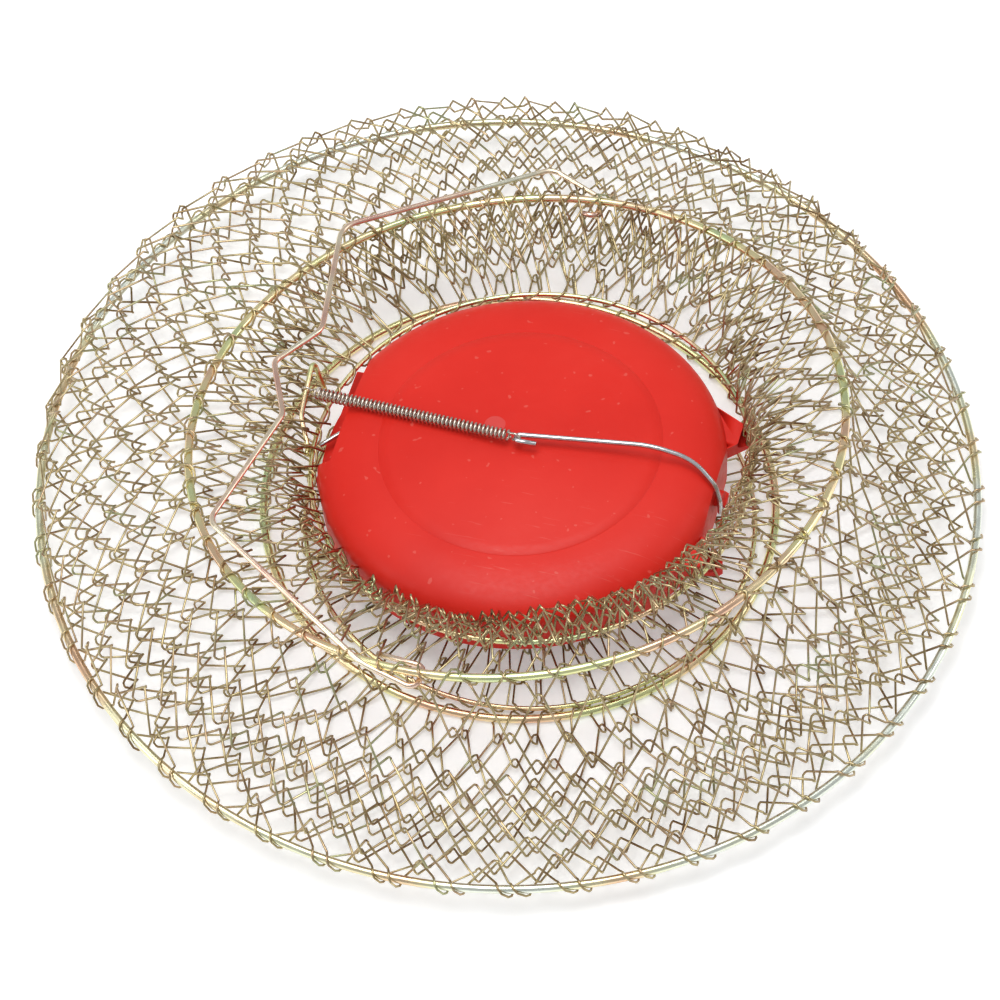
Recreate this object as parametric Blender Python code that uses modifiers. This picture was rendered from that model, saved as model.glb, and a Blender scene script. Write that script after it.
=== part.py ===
"""Floating wire fish basket, lying folded flat, in metres with +Z up.

The origin is on the ground under the middle of the wide middle ring, and the front is -Y.
Rings of heavy wire carry skirts of linked zigzag wire. The lid ring hangs in the mouth on a
throat of the same wire, the hollow lid hinges on it, and a wire handle lies over the mouth.
"""

import math
from collections import namedtuple

import bmesh
import bpy
from mathutils import Matrix, Vector
from mathutils.geometry import intersect_line_sphere_2d

MODEL = "floating_fish_basket"
GAP = 0.0003
MERGE = 0.00001

# Rings: radius of the wire's centre line, height of the centre, rise per metre along X and Y
RING_WIRE = 0.004
MIDDLE_RADIUS = 0.225
MIDDLE_HEIGHT = 0.014
BOTTOM_RADIUS = 0.1235
BOTTOM_PLACE = (0.0054, -0.0065)
FLOOR_RING_WIRE = 0.0024
FLOOR_RING_RADIUS = 0.108
FLOOR_RING_HEIGHT = 0.0038
FLOOR_RING_BEARING = math.radians(-66)
MOUTH_RADIUS = 0.1535
MOUTH_PLACE = (0.0031, -0.0100, 0.070)
MOUTH_SLOPE = (0.0986, -0.1333)
LID_RING_WIRE = 0.0024
LID_RING_RADIUS = 0.1043
LID_RING_PLACE = (0.0106, -0.0123, 0.042)
LID_RING_SLOPE = (0.0537, -0.0465)
RING_STEPS = 48
WIRE_SIDES = 8
THIN_SIDES = 6

# Net of zigzag wires linked row to row
NET_WIRE = 0.0012
NET_ZIGS = 24
NET_SIDES = 4
LINK_LAP = 0.0030
LINK_SIDE = 0.0010
CORNER_WIDTH = 0.0026
HOOK_SPREAD = 1.2
FLOOR_EYE_RADIUS = 0.026
THROAT_START = math.radians(-1)
MOUTH_HOOKS = math.radians(2.45)
SLACK_CORNER = 0.012
TIGHT_SPAN = math.radians(52)
# Folded drape of a skirt, for each level between its rows: the share of the way from its first to
# its second ring and the share of the height from its second to its first, where the mouth ring
# is lowest and where it is highest.
UPPER_DRAPE = (((0.42, 0.85), (0.24, 0.34)), ((0.85, 0.66), (0.60, 0.15)))
THROAT_DRAPE = (((0.36, -0.20), (0.64, 0.82)),)
LOWER_DRAPE = (((0.50, 0.40), (0.50, 0.40)),)

# Spring anchor on the lid ring, as bearing, reach beyond the ring's centre line, and height
ANCHOR_FEET = (math.radians(155.5), math.radians(172.5))
ANCHOR_PEAK = (math.radians(152.2), 0.0122, 0.0165)
ANCHOR_SEAT = (math.radians(160.6), 0.0082, 0.0139)
ANCHOR_KINK = (math.radians(166.0), 0.0080, 0.0070)
ANCHOR_TAIL = math.radians(2.5)
ANCHOR_BENDS = (0.0022, 0.003, 0.010, 0.010)

# Lid, in a frame on the lid ring's plane with +X towards the hinge
LID_BEARING = math.radians(-15.5)
LID_SETBACK = 0.0043
LID_CLEARANCE = 0.0061
LID_DRAFT = 0.0008
LID_DEPTH = 0.019
LID_CROWN = 0.0178
LID_SHOULDER_WIDTH = 0.0303
LID_SHOULDER = 0.0138
LID_BEAD = 0.0004
LID_WALL = 0.0018
LID_STEPS = 48
HINGE_FLAT_INSET = 0.0034
LATCH_FLAT_INSET = 0.011
LATCH_LEDGE = 0.010
BASE_HEIGHT = 0.001
BASE_THICKNESS = 0.002
SADDLE_PLACES = (-0.045, 0.045)
SADDLE_SIZE = (0.006, 0.012)
SADDLE_SIDE = 0.002
SADDLE_UNDER = 0.0024

# Lid hinge: two lugs with troughs that clip the lid ring from below
CLIP_BEARING = math.radians(22.5)
TROUGH_RADIUS = 0.0034
TROUGH_STEPS = 20
LUG_ROOT = (math.radians(15.5), math.radians(32))
LUG_NECK = (math.radians(18.2), math.radians(24.2))
LUG_NECK_REACH = 0.0086
LUG_TIP = (math.radians(20.6), 0.0165)
LUG_TOP = 0.0012
LUG_DEPTH = 0.0062

# Lever wire: upper arm over the lid, a turn under the stub, lower arm out at the latch side.
# The bends are given as distance beyond the hinge flat, side and height
LEVER_WIRE = 0.002
LEVER_HEIGHT = 0.023
LEVER_HOOK_SIDE = -0.007
LEVER_HOOK_WIDTH = 0.0036
LEVER_HOOK_LENGTH = 0.010
LEVER_ARM = (-0.0316, 0.0045, 0.022)
LEVER_SHOULDER = (-0.0116, 0.0045, 0.017)
LEVER_ELBOW = (0.0004, -0.002, 0.009)
LEVER_BENDS = (0.0017, 0.0017, 0.030, 0.020, 0.008, 0.006, 0.003, 0.003, 0.005, 0.005)
LOWER_ARM_SIDE = 0.0012
LATCH_RAMP = (0.006, 0.003)
STUB_RADIUS = 0.004
STUB_STEPS = 16
STUB_HEIGHT = -0.003
STUB_LENGTH = 0.0056
STUB_CLEAR = 0.0034
TONGUE_HEIGHT = -0.0042
TONGUE_END = (0.0175, -0.0165)

# Lid spring
SPRING_WIRE = 0.00085
SPRING_DIAMETER = 0.006
SPRING_COILS = 27
COIL_POINTS = 8
ANCHOR_HOOK_REACH = 0.0075
ANCHOR_HOOK_BACK = 0.0022
LEVER_HOOK_REACH = 0.0026
LEVER_HOOK_BACK = 0.0018
SPRING_HOOK_LEAD = 0.0004
SPRING_HOOK_POINTS = 6

# Handle: half outline as distance along the pivot axis and away from it, apart from the bulge's
# reach beyond the mouth ring and the shoulder's bearing and inset from that ring
HANDLE_WIRE = 0.0026
HANDLE_BEARING = math.radians(73.7)
HANDLE_HOOK = 0.007
HANDLE_TAIL = 0.022
HANDLE_BULGE = (0.0095, 0.025)
HANDLE_SHOULDER = (math.radians(49.2), 0.0096)
HANDLE_DIP = (0.028, 0.008)
HANDLE_PEAK = (0.008, 0.012)
HANDLE_BENDS = (0.0035, 0.0045, 0.020, 0.024, 0.024, 0.006)
HANDLE_HOOK_ROOM = math.radians(4.5)
HANDLE_LEG_ROOM = math.radians(4)

Ring = namedtuple("Ring", "frame radius wire")
Look = namedtuple("Look", "colour roughness metallic")

LOOKS = {
    "gold_wire": Look((0.52, 0.42, 0.20), 0.35, 1.0),
    "net_wire": Look((0.42, 0.36, 0.20), 0.40, 1.0),
    "bright_steel": Look((0.66, 0.67, 0.69), 0.28, 1.0),
    "red_plastic": Look((0.78, 0.05, 0.03), 0.38, 0.0),
}


def clear_scene():
    for item in list(bpy.data.objects):
        bpy.data.objects.remove(item, do_unlink=True)


def new_collection(name):
    group = bpy.data.collections.new(name)
    bpy.context.scene.collection.children.link(group)
    return group


def material(name):
    look = LOOKS[name]
    made = bpy.data.materials.get(name) or bpy.data.materials.new(name)
    made.use_nodes = True
    shader = made.node_tree.nodes["Principled BSDF"]
    shader.inputs["Base Color"].default_value = (*look.colour, 1)
    shader.inputs["Roughness"].default_value = look.roughness
    shader.inputs["Metallic"].default_value = look.metallic
    return made


def plane_frame(place, slope=(0.0, 0.0)):
    """Frame at a place whose XY plane rises by the two slopes along X and Y."""
    normal = Vector((-slope[0], -slope[1], 1)).normalized()
    across = (Vector((1, 0, 0)) - normal * normal.x).normalized()
    along = normal.cross(across)
    turn = Matrix((across, along, normal)).transposed().to_4x4()
    return Matrix.Translation(Vector(place)) @ turn


def turned_frame(frame, angle, shift=(0.0, 0.0, 0.0)):
    return frame @ Matrix.Rotation(angle, 4, "Z") @ Matrix.Translation(Vector(shift))


def carrier(name, frame):
    """Empty that carries the pieces modelled in one frame."""
    empty = bpy.data.objects.new(name, None)
    empty.matrix_world = frame
    empty.empty_display_size = 0.02
    PARTS.objects.link(empty)
    return empty


def place(item, parent, look=None, group=None, shift=(0.0, 0.0, 0.0)):
    """Puts an object in a collection, under its carrier, with its material."""
    (group or PARTS).objects.link(item)
    item.parent = parent
    item.location = shift
    if look:
        item.data.materials.append(material(look))
    return item


def hide_cutter(item):
    item.hide_render = True
    item.display_type = "WIRE"
    return item


def turned(name, profile, closed, steps):
    """Object turned about Z from a profile of (radius, height) points, outer side downwards."""
    points = [(radius, 0, height) for radius, height in profile]
    edges = [(k, k + 1) for k in range(len(points) - 1)]
    if closed:
        edges.append((len(points) - 1, 0))
    mesh = bpy.data.meshes.new(name)
    mesh.from_pydata(points, edges, [])
    item = bpy.data.objects.new(name, mesh)
    screw = item.modifiers.new("Turn", "SCREW")
    screw.axis = "Z"
    screw.angle = 2 * math.pi
    screw.steps = steps
    screw.render_steps = steps
    screw.use_merge_vertices = True
    screw.merge_threshold = MERGE
    screw.use_smooth_shade = True
    return item


def wire_ring(name, ring, sides, parent):
    """Round ring of wire with a flat facet underneath."""
    profile = []
    for k in range(sides):
        angle = -2 * math.pi * (k + 0.5) / sides
        across = ring.radius + ring.wire / 2 * math.cos(angle)
        profile.append((across, ring.wire / 2 * math.sin(angle)))
    return place(turned(name, profile, True, RING_STEPS), parent, "gold_wire")


def tube(name, points, wire, sides, cyclic=False):
    """Bent wire through the points, with filled caps where it is open."""
    curve = bpy.data.curves.new(name, "CURVE")
    curve.dimensions = "3D"
    curve.bevel_depth = wire / 2
    curve.bevel_resolution = sides // 2 - 2
    curve.use_fill_caps = True
    spline = curve.splines.new("POLY")
    spline.points.add(len(points) - 1)
    for slot, point in zip(spline.points, points):
        slot.co = (*point, 1)
    spline.use_cyclic_u = cyclic
    return bpy.data.objects.new(name, curve)


def plate_outline(name, outline, thickness):
    """Flat outline in XY, extruded half its thickness each way."""
    curve = bpy.data.curves.new(name, "CURVE")
    curve.dimensions = "2D"
    curve.fill_mode = "BOTH"
    curve.extrude = thickness / 2
    spline = curve.splines.new("POLY")
    spline.points.add(len(outline) - 1)
    for slot, (along, across) in zip(spline.points, outline):
        slot.co = (along, across, 0, 1)
    spline.use_cyclic_u = True
    return bpy.data.objects.new(name, curve)


def as_mesh(item):
    """Mesh object made from a placed curve object, which it replaces."""
    bpy.context.view_layer.update()
    graph = bpy.context.evaluated_depsgraph_get()
    mesh = bpy.data.meshes.new_from_object(item.evaluated_get(graph))
    work = bmesh.new()
    work.from_mesh(mesh)
    bmesh.ops.remove_doubles(work, verts=work.verts, dist=MERGE)
    work.to_mesh(mesh)
    work.free()
    made = bpy.data.objects.new(item.name + "_solid", mesh)
    for group in item.users_collection:
        group.objects.link(made)
    made.matrix_world = item.matrix_world
    bpy.data.objects.remove(item, do_unlink=True)
    return made


def box(name, low, high, parent):
    """Cutting box between two corners of its carrier's frame."""
    bpy.ops.mesh.primitive_cube_add(size=1)
    item = bpy.context.object
    item.name = name
    low, high = Vector(low), Vector(high)
    item.data.transform(Matrix.Diagonal((high - low).to_4d()))
    adopt(item, parent, CUTTERS)
    item.location = (low + high) / 2
    return hide_cutter(item)


def adopt(item, parent, group):
    """Moves a new primitive into a collection and under its carrier."""
    for other in list(item.users_collection):
        other.objects.unlink(item)
    group.objects.link(item)
    item.parent = parent


def combine(item, other, operation):
    boolean = item.modifiers.new(operation.title() + " " + other.name, "BOOLEAN")
    boolean.operation = operation
    boolean.object = other
    boolean.solver = "EXACT"


def rounded(points, radii, step=math.radians(24)):
    """Polyline whose inner corners are arcs of the given radii."""
    points = [Vector(point) for point in points]
    path = [points[0]]
    for before, corner, after, radius in zip(points, points[1:], points[2:], radii):
        start_way = (corner - before).normalized()
        end_way = (after - corner).normalized()
        turn = start_way.angle(end_way)
        reach = radius * math.tan(turn / 2)
        start = corner - start_way * reach
        inward = (end_way - start_way * end_way.dot(start_way)).normalized()
        count = max(2, math.ceil(turn / step))
        for k in range(count + 1):
            angle = turn * k / count
            rise = inward * radius * (1 - math.cos(angle))
            path.append(start + start_way * radius * math.sin(angle) + rise)
    path.append(points[-1])
    return path


def polar(bearing, radius, height=0.0):
    return Vector((radius * math.cos(bearing), radius * math.sin(bearing), height))


def sagitta(radius):
    """How far a faceted ring's sides lie inside its circle."""
    return radius * (1 - math.cos(math.pi / RING_STEPS))


def ring_point(ring, bearing):
    """Point of a faceted ring's centre line."""
    half_side = math.pi / RING_STEPS
    off_middle = bearing % (2 * half_side) - half_side
    radius = (ring.radius - sagitta(ring.radius)) / math.cos(off_middle)
    return ring.frame @ polar(bearing, radius)


def beside(ring):
    """Distance from a ring's centre line to that of a net wire lying against it."""
    return (ring.wire + NET_WIRE) / 2 + GAP


def turn_between(bearing, other):
    return abs((bearing - other + math.pi) % (2 * math.pi) - math.pi)


def mouth_lift(bearing):
    """Share of the slanted mouth ring's rise at a bearing, from 0 at its lowest to 1 at its highest."""
    highest = math.atan2(MOUTH_SLOPE[1], MOUTH_SLOPE[0])
    return (1 + math.cos(bearing - highest)) / 2


class Skirt:
    """Net that drapes between two rings, with bearings that may run ahead at its first ring.

    Its corners hook round both rings, apart from those whose setback says how far they stop
    short of the ring.
    """

    def __init__(self, first, second, drape, start, setback, lead=0.0):
        self.first = first
        self.second = second
        self.drape = drape
        self.rows = len(drape) + 1
        self.start = start
        self.setback = setback
        self.lead = lead

    def point(self, bearing, level):
        """Point of the net at a bearing and a level, counted in rows from the first ring."""
        near = ring_point(self.first, bearing + self.lead)
        far = ring_point(self.second, bearing)
        if level == 0:
            return near
        if level == self.rows:
            return far
        low, high = self.drape[level - 1]
        along, height = Vector(low).lerp(Vector(high), mouth_lift(bearing))
        point = near.lerp(far, along)
        point.z = far.z + (near.z - far.z) * height
        return point

    def surface(self, bearing, level):
        """Point of the net, its direction away from the first ring, and its normal."""
        before = self.point(bearing, max(level - 1, 0))
        after = self.point(bearing, min(level + 1, self.rows))
        round_way = self.point(bearing + 0.01, level) - self.point(bearing - 0.01, level)
        down_way = (after - before).normalized()
        normal = down_way.cross(round_way).normalized()
        return self.point(bearing, level), down_way, normal

    def corner(self, bearing, level, upper):
        """The two points of a zigzag's corner."""
        point, down_way, normal = self.surface(bearing, level)
        way = -down_way if upper else down_way
        ring = {0: self.first, self.rows: self.second}.get(level)
        setback = self.setback(level, bearing) if ring else 0
        side = LINK_SIDE
        if ring is None:
            reach = LINK_LAP / 2
        elif setback:
            reach = -setback
        else:
            reach = beside(ring)
            side = HOOK_SPREAD * reach
        spread = CORNER_WIDTH / 2 / (point - self.axis_point(level)).length
        pair = []
        for sign in (-1, 1):
            spot, _, normal = self.surface(bearing + sign * spread, level)
            lift = sign if upper else -sign
            pair.append(spot + way * reach + normal * side * lift)
        return pair

    def axis_point(self, level):
        share = level / self.rows
        return self.first.frame.translation.lerp(self.second.frame.translation, share)

    def row(self, index):
        """Points of one row, round the whole net."""
        step = 2 * math.pi / NET_ZIGS
        points = []
        for k in range(NET_ZIGS):
            bearing = self.start + (k + index / 2) * step
            points += self.corner(bearing, index, True)
            points += self.corner(bearing + step / 2, index + 1, False)
        return points


def net_rows(name, skirt, parent):
    for index in range(skirt.rows):
        label = f"{name}_{index + 1}"
        row = tube(label, skirt.row(index), NET_WIRE, NET_SIDES, cyclic=True)
        place(row, parent, "net_wire")


def least_gap(points, wire, near):
    """Smallest gap of a wire to itself, leaving out the points next along it."""
    least = math.inf
    for k, point in enumerate(points):
        for other in points[k + near:]:
            least = min(least, (point - other).length - wire)
    return least


def mouth_gap(bearing):
    """Whether a bearing of the mouth ring is taken by the folded handle's legs and hooks."""
    far_edge = math.asin(HANDLE_REST_REACH / MOUTH_RADIUS) + HANDLE_LEG_ROOM
    back = (bearing - HANDLE_BEARING + math.pi) % (2 * math.pi) - math.pi
    front = (HANDLE_BEARING + math.pi - bearing + math.pi) % (2 * math.pi) - math.pi
    return any(-HANDLE_HOOK_ROOM < away < far_edge for away in (back, front))


def anchor_gap(bearing):
    """Whether a bearing of the lid ring lies between the spring anchor's feet."""
    return ANCHOR_FEET[0] < bearing % (2 * math.pi) < ANCHOR_FEET[1]


def anchor_point(spot):
    bearing, reach, height = spot
    return polar(bearing, LID_RING_RADIUS + reach, height)


def lid_profile(inset):
    """Outer profile of the lid, or its hollow's when inset by the wall."""
    profile = []
    for share in (0, 0.35, 0.7, 1):
        radius = LID_SHOULDER_RADIUS * share
        drop = (LID_CROWN - LID_SHOULDER - LID_BEAD) * share ** 2
        profile.append((radius, LID_CROWN - drop - inset))
    for k in range(6):
        angle = math.pi / 2 * k / 5
        across = LID_SHOULDER_RADIUS + LID_BEAD / 2
        across += (LID_RADIUS - inset - across) * math.sin(angle)
        profile.append((across, (LID_SHOULDER - inset) * math.cos(angle)))
    foot = -LID_DEPTH - (inset and LID_DEPTH / 4)
    profile.append((LID_FOOT_RADIUS - inset, foot))
    profile.append((0, foot))
    return profile


def lug_outline(side):
    """Plan of a hinge lug, from an arc inside the lid's wall out to its tip."""
    outline = []
    for k in range(5):
        bearing = LUG_ROOT[0] + (LUG_ROOT[1] - LUG_ROOT[0]) * k / 4
        outline.append(polar(bearing, LID_RADIUS - LID_WALL / 2))
    outline.append(polar(LUG_NECK[1], LID_RADIUS + LUG_NECK_REACH))
    outline.append(polar(LUG_TIP[0], LID_RADIUS + LUG_TIP[1]))
    outline.append(polar(LUG_NECK[0], LID_RADIUS + LUG_NECK_REACH))
    return [(point.x, side * point.y) for point in outline]


def lever_path():
    """Route of the lever wire in the lid's frame."""
    under = STUB_HEIGHT - STUB_RADIUS - GAP - LEVER_WIRE / 2
    beside = STUB_RADIUS + GAP + LEVER_WIRE / 2
    out = HINGE_FLAT + STUB_CLEAR
    bends = [
        (HINGE_FLAT + beyond, side, height)
        for beyond, side, height in (LEVER_ARM, LEVER_SHOULDER, LEVER_ELBOW)
    ]
    points = [
        (LEVER_HOOK_LENGTH, LEVER_HOOK_SIDE, LEVER_HEIGHT),
        (0, LEVER_HOOK_SIDE, LEVER_HEIGHT),
        (0, LEVER_HOOK_SIDE + LEVER_HOOK_WIDTH, LEVER_HEIGHT),
        *bends,
        (out, -beside, STUB_HEIGHT + STUB_RADIUS),
        (out, -beside, under),
        (out, beside, under),
        (-LATCH_FLAT + LATCH_RAMP[0], LOWER_ARM_SIDE, under),
        (-LATCH_FLAT - LATCH_RAMP[1], LOWER_ARM_SIDE, TONGUE_HEIGHT),
        (-LATCH_FLAT - TONGUE_END[0], TONGUE_END[1], TONGUE_HEIGHT),
    ]
    return rounded(points, LEVER_BENDS)


def hook_end(end, outward, side, radius, reach, back):
    """Hairpin hook from a coil's end: out along the axis, half round and part way back."""
    centre = end + outward * reach
    points = [end + side * radius + outward * SPRING_HOOK_LEAD]
    for k in range(SPRING_HOOK_POINTS + 1):
        angle = math.pi * k / SPRING_HOOK_POINTS
        points.append(centre + side * radius * math.cos(angle) + outward * radius * math.sin(angle))
    points.append(end - side * radius + outward * back)
    return points


def spring_path(anchor_seat, lever_seat):
    """One unbroken wire: a hook, the coils and the other hook, in the lid ring's frame."""
    radius = (SPRING_DIAMETER - SPRING_WIRE) / 2
    way = (lever_seat - anchor_seat).normalized()
    level = Vector((0, 0, 1)).cross(way).normalized()
    upright = way.cross(level)
    inner = radius - SPRING_WIRE / 2
    anchor_slip = inner - LID_RING_WIRE / 2 - GAP
    lever_slip = inner - LEVER_WIRE / 2 - GAP
    first_centre = anchor_seat + way * anchor_slip
    last_centre = lever_seat - way * lever_slip
    start = first_centre + way * ANCHOR_HOOK_REACH
    stop = last_centre - way * LEVER_HOOK_REACH
    anchor_hook = hook_end(start, -way, upright, radius, ANCHOR_HOOK_REACH, ANCHOR_HOOK_BACK)
    points = anchor_hook[::-1]
    count = SPRING_COILS * COIL_POINTS
    for k in range(1, count):
        angle = 2 * math.pi * k / COIL_POINTS
        round_part = upright * math.cos(angle) + level * math.sin(angle)
        points.append(start.lerp(stop, k / count) + round_part * radius)
    return points + hook_end(stop, way, upright, radius, LEVER_HOOK_REACH, LEVER_HOOK_BACK)


def handle_outline():
    """Half outline of the handle, from one hook's tail to the middle of the peak."""
    hook_in = MOUTH_RADIUS - HANDLE_HOOK
    hook_out = MOUTH_RADIUS + HANDLE_HOOK
    bulge = (MOUTH_RADIUS + HANDLE_BULGE[0], HANDLE_BULGE[1])
    shoulder = polar(HANDLE_SHOULDER[0], MOUTH_RADIUS - HANDLE_SHOULDER[1])
    dip = (HANDLE_DIP[0], shoulder.y - HANDLE_DIP[1])
    peak = (HANDLE_PEAK[0], dip[1] + HANDLE_PEAK[1])
    half = [(hook_in, HANDLE_TAIL), (hook_in, 0), (hook_out, 0), bulge]
    return half + [(shoulder.x, shoulder.y), dip, peak]


def handle_drop():
    """Depth of the pivot axis under the mouth ring's centre line."""
    return (RING_WIRE + HANDLE_WIRE) / 2 + GAP + sagitta(MOUTH_RADIUS)


def handle_rest():
    """Where a leg crosses the mouth ring, away from the axis, and the tilt that clears it."""
    bulge, shoulder = handle_outline()[3:5]
    crossings = intersect_line_sphere_2d(bulge, shoulder, (0, 0), MOUTH_RADIUS)
    reach = next(point.y for point in crossings if point)
    lift = handle_drop() + (RING_WIRE + HANDLE_WIRE) / 2 + GAP
    return reach, math.asin(lift / reach)


clear_scene()
PARTS = new_collection(MODEL)
CUTTERS = new_collection(MODEL + "_cutters")
HANDLE_REST_REACH, HANDLE_REST_TILT = handle_rest()

LID_RADIUS = LID_RING_RADIUS - LID_RING_WIRE / 2 - LID_CLEARANCE
LID_FOOT_RADIUS = LID_RADIUS - LID_DRAFT
LID_SHOULDER_RADIUS = LID_RADIUS - LID_SHOULDER_WIDTH
HINGE_FLAT = LID_RADIUS - HINGE_FLAT_INSET
LATCH_FLAT = LID_RADIUS - LATCH_FLAT_INSET

facet = math.cos(math.pi / WIRE_SIDES)
bottom_height = RING_WIRE / 2 * facet
floor_shift = BOTTOM_RADIUS - FLOOR_RING_RADIUS - (RING_WIRE + FLOOR_RING_WIRE) / 2 - GAP
floor_place = Vector((*BOTTOM_PLACE, FLOOR_RING_HEIGHT)) + polar(FLOOR_RING_BEARING, floor_shift)

BOTTOM = Ring(plane_frame((*BOTTOM_PLACE, bottom_height)), BOTTOM_RADIUS, RING_WIRE)
FLOOR = Ring(plane_frame(floor_place), FLOOR_RING_RADIUS, FLOOR_RING_WIRE)
MIDDLE = Ring(plane_frame((0, 0, MIDDLE_HEIGHT)), MIDDLE_RADIUS, RING_WIRE)
MOUTH = Ring(plane_frame(MOUTH_PLACE, MOUTH_SLOPE), MOUTH_RADIUS, RING_WIRE)
COLLAR = Ring(plane_frame(LID_RING_PLACE, LID_RING_SLOPE), LID_RING_RADIUS, LID_RING_WIRE)
LID_FRAME = turned_frame(COLLAR.frame, LID_BEARING, (-LID_SETBACK, 0, 0))
HINGE_REACH = LID_RING_RADIUS * math.cos(CLIP_BEARING) + LID_SETBACK


def build_rings():
    carriers = {}
    for name, ring, sides in (
        ("bottom_ring", BOTTOM, WIRE_SIDES),
        ("floor_ring", FLOOR, THIN_SIDES),
        ("middle_ring", MIDDLE, THIN_SIDES),
        ("mouth_ring", MOUTH, WIRE_SIDES),
        ("lid_ring", COLLAR, THIN_SIDES),
    ):
        carriers[name] = carrier(name + "_frame", ring.frame)
        wire_ring(name, ring, sides, carriers[name])
    return carriers


def build_nets():
    """All skirts, row by row, in world coordinates."""
    half_step = math.pi / NET_ZIGS
    throat_lead = MOUTH_HOOKS - THROAT_START

    def throat_setback(level, bearing):
        taken = mouth_gap(bearing + throat_lead) if level == 0 else anchor_gap(bearing)
        return SLACK_CORNER if taken else 0

    def upper_setback(level, bearing):
        return SLACK_CORNER if level == 0 and mouth_gap(bearing) else 0

    def lower_setback(level, bearing):
        return beside(BOTTOM) if level else 0

    def floor_setback(level, bearing):
        tight = turn_between(bearing, FLOOR_RING_BEARING) < TIGHT_SPAN
        return beside(FLOOR) if tight or level else 0

    eye = Ring(FLOOR.frame, FLOOR_EYE_RADIUS, NET_WIRE)
    upper_start = MOUTH_HOOKS + half_step
    throat = Skirt(MOUTH, COLLAR, THROAT_DRAPE, THROAT_START, throat_setback, throat_lead)
    upper = Skirt(MOUTH, MIDDLE, UPPER_DRAPE, upper_start, upper_setback)
    lower_start = upper_start + (upper.rows + 1) * half_step
    lower = Skirt(MIDDLE, BOTTOM, LOWER_DRAPE, lower_start, lower_setback)
    floor = Skirt(FLOOR, eye, (), lower_start, floor_setback)
    net_rows("throat_net_row", throat, None)
    net_rows("upper_net_row", upper, None)
    net_rows("lower_net_row", lower, None)
    net_rows("floor_net_row", floor, None)


def build_anchor(parent):
    """Bent wire standing on the lid ring, which the spring hooks on."""
    beside = LID_RING_RADIUS + LID_RING_WIRE + GAP
    feet = [polar(bearing, beside) for bearing in ANCHOR_FEET]
    tail = polar(ANCHOR_FEET[1] + ANCHOR_TAIL, beside)
    bends = [anchor_point(spot) for spot in (ANCHOR_PEAK, ANCHOR_SEAT, ANCHOR_KINK)]
    path = rounded([feet[0], *bends, feet[1], tail], ANCHOR_BENDS)
    place(tube("spring_anchor", path, LID_RING_WIRE, THIN_SIDES), parent, "gold_wire")


def build_spring(parent):
    lever_seat = Vector((-LID_SETBACK, LEVER_HOOK_SIDE + LEVER_HOOK_WIDTH / 2, LEVER_HEIGHT))
    lever_seat.rotate(Matrix.Rotation(LID_BEARING, 3, "Z"))
    points = spring_path(anchor_point(ANCHOR_SEAT), lever_seat)
    gap = least_gap(points, SPRING_WIRE, COIL_POINTS // 2)
    print(f"lid spring: least gap to itself {gap * 1000:.2f} mm")
    place(tube("lid_spring", points, SPRING_WIRE, THIN_SIDES), parent, "bright_steel")


def lever_channel(parent):
    """Cutter that leaves the lever wire its clearance."""
    route = tube("lever_clearance", lever_path(), LEVER_WIRE + 2 * GAP, WIRE_SIDES)
    place(route, parent, group=CUTTERS, shift=(-HINGE_REACH, 0, 0))
    return hide_cutter(as_mesh(route))


def shifted(low, high):
    """Corners given in the lid's frame, in its hinge carrier's frame."""
    move = Vector((-HINGE_REACH, 0, 0))
    return Vector(low) + move, Vector(high) + move


def build_hollow(parent):
    """Inner form of the lid's shell, as a cutter."""
    inner = turned("lid_hollow", lid_profile(LID_WALL), False, LID_STEPS)
    place(inner, parent, group=CUTTERS, shift=(-HINGE_REACH, 0, 0))
    size = 2 * LID_RADIUS
    low, high = shifted((HINGE_FLAT - LID_WALL, -size, -size), (size, size, size))
    combine(inner, box("hollow_hinge_flat", low, high, parent), "DIFFERENCE")
    low, high = shifted(
        (-size, -size, -LATCH_LEDGE - LID_WALL), (-LATCH_FLAT + LID_WALL, size, size)
    )
    combine(inner, box("hollow_latch_step", low, high, parent), "DIFFERENCE")
    return hide_cutter(inner)


def build_lid(parent):
    """Hollow lid with a hinge flat, a latch ledge, two hinge lugs and a stub."""
    shell = turned("lid_shell", lid_profile(0), False, LID_STEPS)
    place(shell, parent, "red_plastic", shift=(-HINGE_REACH, 0, 0))
    size = 2 * LID_RADIUS
    low, high = shifted((HINGE_FLAT, -size, -size), (size, size, size))
    combine(shell, box("hinge_flat", low, high, parent), "DIFFERENCE")
    low, high = shifted((-size, -size, -LATCH_LEDGE), (-LATCH_FLAT, size, size))
    combine(shell, box("latch_step", low, high, parent), "DIFFERENCE")
    combine(shell, build_hollow(parent), "DIFFERENCE")
    for side, label in ((1, "back"), (-1, "front")):
        lug = plate_outline(f"lug_{label}", lug_outline(side), LUG_TOP + LUG_DEPTH)
        middle = (LUG_TOP - LUG_DEPTH) / 2
        place(lug, parent, group=CUTTERS, shift=(-HINGE_REACH, 0, middle))
        combine(shell, hide_cutter(as_mesh(lug)), "UNION")
    combine(shell, build_stub(parent), "UNION")
    combine(shell, build_trough(parent), "DIFFERENCE")
    combine(shell, lever_channel(parent), "DIFFERENCE")
    return shell


def build_stub(parent):
    """Short round stub on the hinge flat, which the lever wire passes under."""
    inside = HINGE_FLAT - LID_WALL / 2
    length = STUB_LENGTH + LID_WALL / 2
    bpy.ops.mesh.primitive_cylinder_add(vertices=STUB_STEPS, radius=STUB_RADIUS, depth=length)
    stub = bpy.context.object
    stub.name = "lever_stub"
    stub.data.transform(Matrix.Rotation(math.pi / 2, 4, "Y"))
    adopt(stub, parent, CUTTERS)
    stub.location = (inside + length / 2 - HINGE_REACH, 0, STUB_HEIGHT)
    return hide_cutter(stub)


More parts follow.
